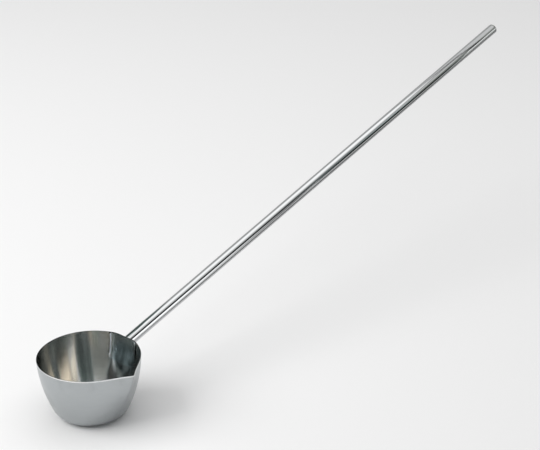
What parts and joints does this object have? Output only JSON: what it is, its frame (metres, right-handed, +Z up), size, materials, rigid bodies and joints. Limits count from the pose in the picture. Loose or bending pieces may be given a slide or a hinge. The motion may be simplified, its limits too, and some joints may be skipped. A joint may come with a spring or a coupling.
{
  "type": "lipped ladle",
  "caption": "Deep round steel ladle bowl with a pinched pouring lip at one side and a long straight tube handle welded to its wall, backed by a plate inside.",
  "frame": {"origin": "centre of the bowl's flat base, on the surface it stands on", "axes": "+Z up out of the bowl, +X out along the handle, -Y towards the pouring lip"},
  "size_m": [1.0125, 0.1549, 0.2995],
  "materials": {
    "bowl_steel": "satin outside, brighter and smoother inside",
    "plate_steel": "rolled sheet, slightly rippled at the spot welds",
    "tube_steel": "mirror polished",
    "cap_steel": "turned and polished",
    "weld_steel": "bare weld metal with a faint heat tint"
  },
  "bodies": {
    "root": {"bowl": "bowl_steel", "backing_plate": "plate_steel", "handle_tube": "tube_steel", "end_cap": "cap_steel", "handle_weld": "weld_steel", "tack_weld_upper_left": "weld_steel", "tack_weld_upper_right": "weld_steel", "tack_weld_lower_left": "weld_steel", "tack_weld_lower_right": "weld_steel"}
  },
  "joints": []
}
